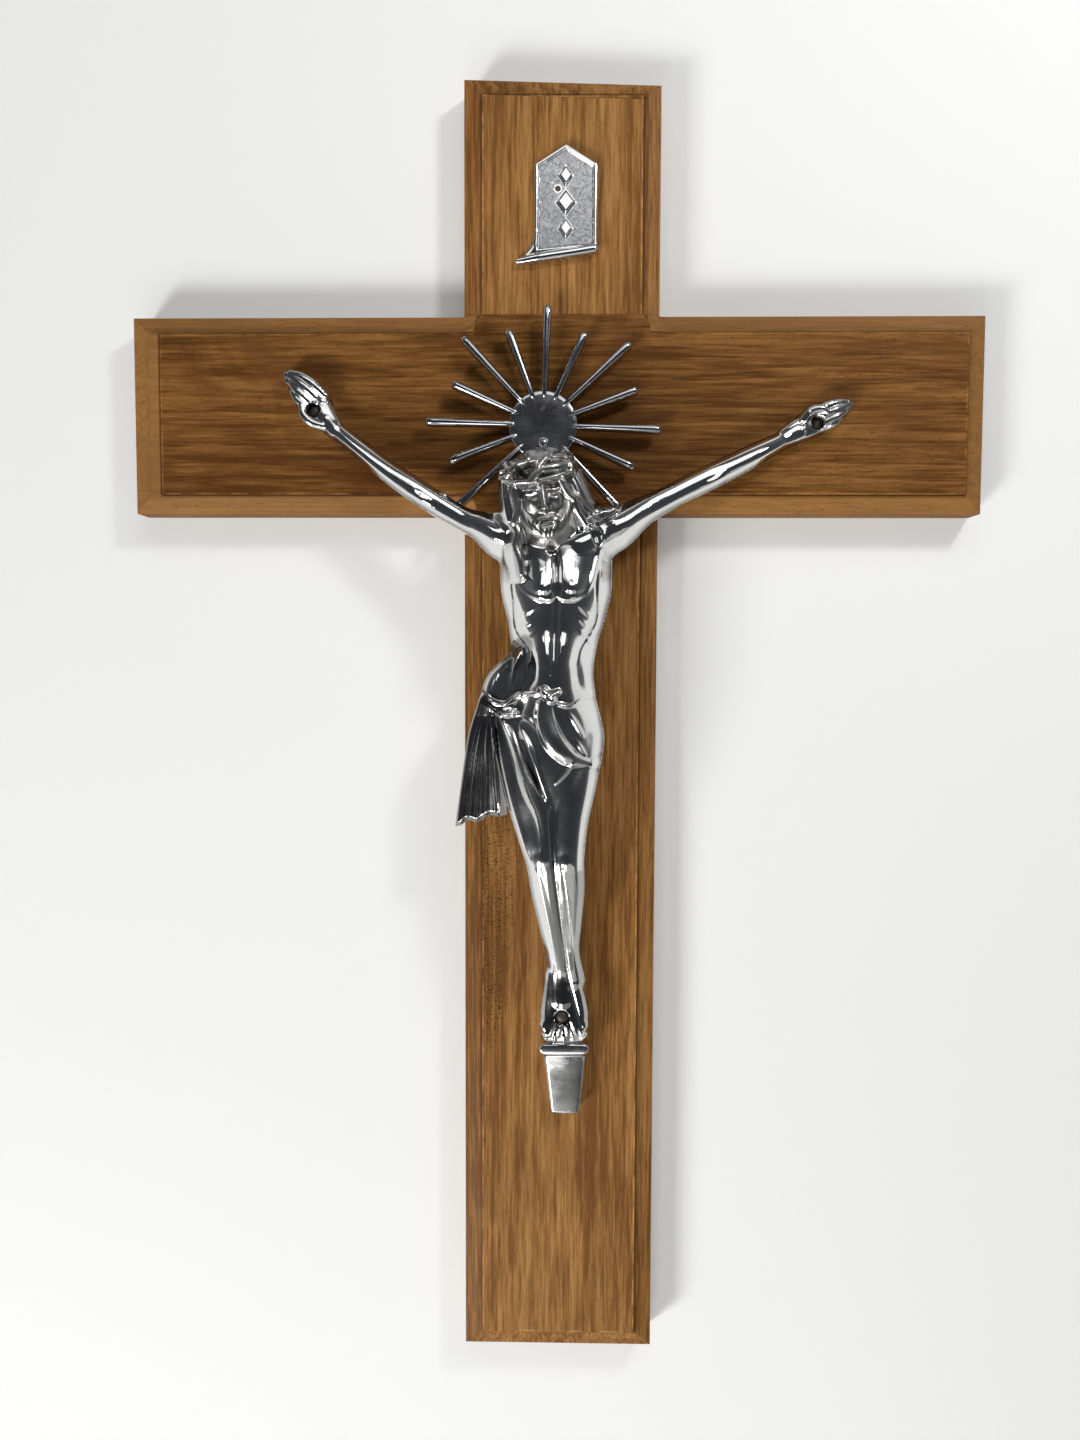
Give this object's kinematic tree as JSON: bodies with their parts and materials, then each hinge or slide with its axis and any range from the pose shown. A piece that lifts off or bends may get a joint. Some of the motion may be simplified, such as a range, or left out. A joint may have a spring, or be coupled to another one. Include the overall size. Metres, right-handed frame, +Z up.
{
  "type": "wall crucifix",
  "caption": "Wall cross of half-lapped boards with a routed edge, carrying a cast metal figure, a ray halo and a small gabled plaque held on by nails.",
  "frame": {"origin": "centre of the hanging hole's mouth in the back face of the upright", "axes": "+Z up along the upright, +X to the viewer's right, +Y out of the back towards the wall; the front faces -Y"},
  "size_m": [0.389, 0.0641, 0.5916],
  "materials": {
    "stained_wood": "brown stain under a thin satin coat, open pores and some torn grain",
    "polished_casting": "hand-polished aluminium casting",
    "dark_steel": "darkened steel",
    "bright_steel": "bright zinc plate"
  },
  "bodies": {
    "root": {"upright": "stained_wood", "crossbar": "stained_wood", "corpus": "polished_casting", "halo": "polished_casting", "plaque": "polished_casting", "hand_nails": "dark_steel", "foot_nail": "dark_steel", "halo_screw": "bright_steel", "halo_pin": "dark_steel", "plaque_brad": "dark_steel"}
  },
  "joints": []
}
